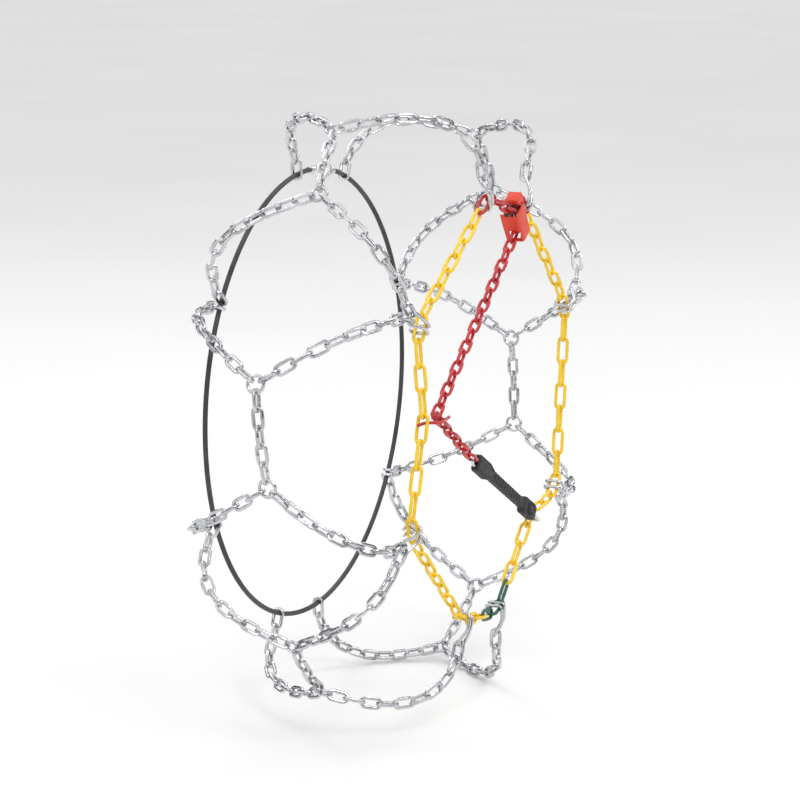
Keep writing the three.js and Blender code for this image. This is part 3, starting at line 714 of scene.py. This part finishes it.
def make_lock():
    bottom, top = LOCK["bottom"], LOCK["top"]
    rows = []
    stations = 9
    for i in range(stations):
        height = i / (stations - 1)
        w = bottom + (top - bottom) * height
        outer = cover_outline(height, 0)
        inner = cover_outline(height, LOCK["wall"])[::-1]
        rows.append([lock_point(u, w, y) for u, y in outer + inner])
    shape = Shape().skin(rows)
    cutters = [lock_box(-12, -9.9, -1.5, 2.4, 6.2, 6.2), lock_box(-12, 16.4, -1.5, 2.4, 1.8, 6.2)]
    piece("lock_cover_shell", shape, "red_plastic", "net", "lock_cover", cutters=cutters, bevel=0.45)

    thumb = [(13, 17.9), (13, 27.6), (-1, 27.6), (-1, 23.9), (4.2, 17.9)]
    block = Shape().skin([[lock_point(u, w, y) for u, w in thumb] for y in (6.4, -7.8)])
    hub = Shape()
    turned(hub, lock_point(*PAWL_PIN, -3), AXLE, [(0, 2.3), (0.4, 2.7), (5.6, 2.7), (6, 2.3)], 24)
    block.skin([[lock_point(u, w, y) for u, w in ((7.6, 14.6), (11.6, 14.6), (11.6, 19.4), (7.6, 19.4))]
                for y in (3, -3)])
    piece("lock_thumb_block", block, "red_plastic", "pawl", "lock_pawl", bevel=1.1)
    piece("lock_pawl_hub", hub, "red_plastic", "pawl", "lock_pawl")

    frame = Shape()
    for y in (-LOCK["cheek"], LOCK["cheek"]):
        frame.skin([[lock_point(u, w, y + t) for u, w in cheek_outline()] for t in (-0.6, 0.6)])
    frame.skin([[lock_point(u, w, y) for u, y in ((9.4, -6.5), (10.6, -6.5), (10.6, 6.5), (9.4, 6.5))]
                for w in (-16, 10)])
    turned(frame, lock_point(-8.2, 1.5, -6.6), AXLE, [(0, 1.7), (13.2, 1.7)], 20)
    turned(frame, lock_point(*PAWL_PIN, -7.8), AXLE, [(0, 1.1), (0.3, 1.5), (15.3, 1.5), (15.6, 1.1)], 20)
    eye = held_end(attach[7]) + held_direction(attach[7]) * (YELLOW["wire"] / 2 + 0.5) - lock_centre
    eye_u, eye_w, eye_y = eye.dot(lock_u), eye.dot(lock_w), SIDE_Y - LOCK["y"]
    loop = [lock_point(10.4, eye_w + 2.9, eye_y), lock_point(eye_u + 3, eye_w + 2.9, eye_y),
            lock_point(eye_u + 3, eye_w - 2.9, eye_y), lock_point(10.4, eye_w - 2.9, eye_y)]
    sweep(frame, filleted(loop, 2.6, True), section(1.4, 0.7), AXLE, True)
    piece("lock_frame_plates", frame, "bright_steel", "net", "lock_frame", bevel=0.2)

    coil = Shape()
    steps, windings, radius = 90, 2.6, 2.5
    turns = [2 * math.pi * windings * k / steps for k in range(steps + 1)]
    pin_u, pin_w = PAWL_PIN
    path = [lock_point(pin_u + radius * math.cos(t), pin_w + radius * math.sin(t), 4.1 + 0.42 * t / 6.28)
            for t in turns]
    sweep(coil, path, section(0.35, 1, 8), AXLE)
    piece("lock_spring_coil", coil, "bright_steel", "net", "lock_spring")


def cheek_outline():
    return [(-6.6, -15), (-5.6, -16), (7, -16), (8, -15), (9.8, -12), (9.8, 15), (8.8, 16), (-8, 16),
            (-9, 15), (-9, -4)]


# ---- Rubber tensioner -----------------------------------------------------------------------
hook_aim = Vector((STRAP_BOW[0], TENSION_Y, STRAP_BOW[1]))
strap_s = toward(eye_contact, hook_aim)
strap_b = strap_s.cross(AXLE)
STRAP_EDGE = [(7, 7.4), (8.2, 8.2), (10, 8.8), (37, 8.8), (40, 8.0), (45.5, 5.8), (60, 5.4), (140, 5.0),
              (146, 5.2), (147.5, 5.8), (149.5, 8.2), (151.5, 8.8), (179, 8.8), (182, 7.6), (184, 5.9)]
BOSS_AT = 166


def strap_point(s, b, y=0.0):
    return eye_contact + strap_s * s + strap_b * b + AXLE * y


def edge_at(s):
    for (s0, b0), (s1, b1) in zip(STRAP_EDGE, STRAP_EDGE[1:]):
        if s <= s1:
            return b0 + (b1 - b0) * (s - s0) / (s1 - s0)
    return STRAP_EDGE[-1][1]


def make_tensioner():
    start, end = STRAP_EDGE[0][0], STRAP_EDGE[-1][0]
    rows = []
    stations = 236
    for i in range(stations):
        s = start + (end - start) * i / (stations - 1)
        half = edge_at(s)
        waist = smooth_between(38, 47, s) * (1 - smooth_between(145, 151, s))
        rib = max(0, math.sin((s - 56) * 2 * math.pi / 7.5)) ** 0.6 if 56 < s < 138.5 else 0
        thick = 4.5 - 1.2 * waist + 0.7 * rib
        ends = min(1, 0.55 + (s - start) / 3.2, 0.55 + (end - s) / 3.2)
        row = []
        for a, b in section(1, 0.3, 32):
            row.append(strap_point(s, a * half / 1.042 * (0.94 + 0.06 * ends), b * thick / 1.042 * ends))
        rows.append(row)
    shape = Shape().skin(rows)
    cutters = [box_shape(strap_point(5, -6.2, -2), (strap_s * 19, strap_b * 12.4, AXLE * 4))]
    strap = piece("tensioner_strap_body", shape, "black_rubber", None, "tensioner_strap", cutters=cutters,
                  sharp=32)
    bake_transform(strap)

    boss = Shape()
    turned(boss, strap_point(BOSS_AT, 0, -3.4), -AXLE,
           [(0, 7.6), (1.9, 7.6), (2.4, 7.3), (2.6, 6.9), (2.6, 6.0), (1.5, 5.6), (1.5, 4.8), (2.6, 4.4),
            (2.8, 0.5)], 48)
    piece("tensioner_boss", boss, "black_rubber", "strap_hook", "tensioner_strap", sharp=60)

    lip = Shape()
    for side in (-1, 1):
        path = [strap_point(s, side * (edge_at(s) - 1.6), -4.2) for s in (12, 20, 30, 37, 41, 49)]
        sweep(lip, path, section(0.7, 1, 8), AXLE)
    piece("tensioner_edge_beads", lip, "black_rubber", "strap", "tensioner_strap")

    eye = Shape()
    loop = [strap_point(s, b) for s, b in ((-1.5, -4.5), (22, -4.5), (22, 4.5), (-1.5, 4.5))]
    sweep(eye, filleted(loop, 4.2, True), section(1.5), AXLE, True)
    piece("tensioner_eye_wire", eye, "bright_steel", "strap", "tensioner_eye")

    hook = Shape()
    tip = (hook_aim - eye_contact).length + 11
    path = [strap_point(BOSS_AT - 1.5, 0), strap_point(tip, 0), strap_point(tip, 0, 12)]
    sweep(hook, filleted(path, 5), section(1.6), strap_b)
    piece("tensioner_hook_wire", hook, "bright_steel", "strap_hook", "tensioner_hook")


# ---- Rear hoop ------------------------------------------------------------------------------
def make_rear_hoop():
    start, sweep_angle, steps = HOOP_JOINT + HOOP_GAP, 360 - 2 * HOOP_GAP, 220
    path = [polar(start + sweep_angle * i / steps, HOOP_RADIUS, HOOP_Y) for i in range(steps + 1)]
    cable = Shape()
    sweep(cable, path, section(HOOP_CABLE, 1, 14), AXLE)
    piece("rear_hoop_sleeve", cable, "cable_sleeve", "net", "rear_hoop_cable")

    a, b = polar(HOOP_JOINT + 90, 1), polar(HOOP_JOINT, 1)
    centre = polar(HOOP_JOINT, HOOP_RADIUS * math.cos(math.radians(HOOP_GAP)), HOOP_Y)

    def place(along, out, inboard):
        return centre + a * along + b * out + AXLE * inboard

    cable_end = HOOP_RADIUS * math.sin(math.radians(HOOP_GAP))
    fork = Shape()
    turned(fork, place(cable_end - 0.9, 0, 0), -a,
           [(0, 3.1), (0.6, 4.4), (2, 4.6), (3, 4.1), (4, 4.6), (5.4, 4.1), (6.4, 4.6), (8.4, 4.6),
            (9.6, 3.9)], 32)
    for side in (-3.3, 3.3):
        cheek = [(16.5, -1.4), (16.5, 5.8), (8, 5.8), (6.2, 4.6), (5.6, 3), (6.2, 0.4), (8, -1.4)]
        fork.skin([[place(p, side + t, q) for p, q in cheek] for t in (-1.1, 1.1)])
    fork.skin([[place(p, q, t) for p, q in ((14.8, -4.4), (17.4, -4.4), (17.4, 4.4), (14.8, 4.4))]
               for t in (-3.2, 5.6)])
    piece("rear_hoop_fork_end", fork, "bright_steel", "net", "rear_hoop_fork", bevel=0.35)

    hook = Shape()
    path = [place(11.5, 0, 3.5), place(-11.5, 0, 3.5), place(-11.5, 0, -4.5)]
    sweep(hook, filleted(path, 4.5), section(1.55), b)
    turned(hook, place(10, -4.9, 3.5), b, [(0, 1.2), (0.3, 1.5), (9.5, 1.5), (9.8, 1.2)], 20)
    piece("rear_hoop_hook_wire", hook, "bright_steel", "hoop_hook", "rear_hoop_hook")

    eye = Shape()
    loop = [place(p, q, 0) for p, q in ((-8, -5.5), (-21, -5.5), (-21, 5.5), (-8, 5.5))]
    sweep(eye, filleted(loop, 4.6, True), section(1.5), AXLE, True)
    turned(eye, place(-cable_end + 0.9, 0, 0), a,
           [(0, 3.0), (0.5, 4.0), (1.6, 4.2), (2.4, 3.7), (3.2, 4.2), (4.0, 3.7), (4.8, 4.2), (6.2, 3.6)], 32)
    piece("rear_hoop_eye_end", eye, "bright_steel", "net", "rear_hoop_eye")


# ---- Stage ----------------------------------------------------------------------------------
def aim(thing, place, target):
    thing.location = place
    thing.rotation_euler = toward(thing.location, Vector(target)).to_track_quat("-Z", "Y").to_euler()


def make_camera():
    """Fitted to where the rings, side hooks and rim stand in the photograph; distances are in metres."""
    azimuth, elevation, distance = math.radians(-65.8), math.radians(12), 2.78
    back = Vector((math.sin(azimuth) * math.cos(elevation), -math.cos(azimuth) * math.cos(elevation),
                   math.sin(elevation)))
    camera = bpy.data.objects.new("camera", bpy.data.cameras.new("camera"))
    bpy.context.collection.objects.link(camera)
    camera.data.sensor_width, camera.data.lens = 36, 123
    aim(camera, back * distance, (0, 0, 0))
    bpy.context.scene.camera = camera
    bpy.context.scene.view_settings.view_transform = "Standard"


def area_light(name, place, size, power):
    light = bpy.data.lights.new(name, "AREA")
    light.shape, light.size, light.size_y = "RECTANGLE", *size
    light.energy = power
    made = bpy.data.objects.new(name, light)
    bpy.context.collection.objects.link(made)
    aim(made, place, (0, 0, 0))


def make_stage(lowest):
    floor = bpy.data.meshes.new("floor")
    reach = 30
    floor.from_pydata([(-reach, -reach, 0), (reach, -reach, 0), (reach, reach, 0), (-reach, reach, 0)], [],
                      [(0, 1, 2, 3)])
    ground = bpy.data.objects.new("floor", floor)
    ground.location.z = lowest - 0.0006
    bpy.context.collection.objects.link(ground)
    material, nodes, links, shader = new_material("floor")
    colour = ramp(nodes, links, noise(nodes, links, 1.5, 3), [(0.3, grey(0.80)), (0.7, grey(0.83))])
    links.new(colour, shader.inputs["Base Color"])
    shader.inputs["Roughness"].default_value = 0.9
    floor.materials.append(material)

    world = bpy.data.worlds.new("studio")
    bpy.context.scene.world = world
    world.use_nodes = True
    nodes, links = world.node_tree.nodes, world.node_tree.links
    split = nodes.new("ShaderNodeSeparateXYZ")
    links.new(nodes.new("ShaderNodeTexCoord").outputs["Generated"], split.inputs[0])
    sky = ramp(nodes, links, split.outputs["Z"],
               [(0.0, grey(0.75)), (0.10, grey(0.75)), (0.16, grey(0.06)), (0.42, grey(0.10)),
                (0.55, grey(1.0))])
    links.new(sky, nodes["Background"].inputs["Color"])
    nodes["Background"].inputs["Strength"].default_value = 1.15
    area_light("key", (-1.6, -1.9, 2.3), (1.3, 1.3), 30)
    area_light("fill", (-2.4, 1.2, 1.2), (1.6, 1.2), 8)
    area_light("edge", (1.9, -1.2, 1.6), (0.5, 1.8), 14)
    area_light("back", (0.9, 2.0, 1.8), (1.2, 1.2), 12)


# ---- Building -------------------------------------------------------------------------------
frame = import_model()
make_camera()
make_net()
make_side_chain()
make_side_hooks()
make_tension_chain()
make_guide_hook()
make_lock()
make_tensioner()
make_rear_hoop()
visual_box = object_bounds()
make_stage(visual_box[0][2])
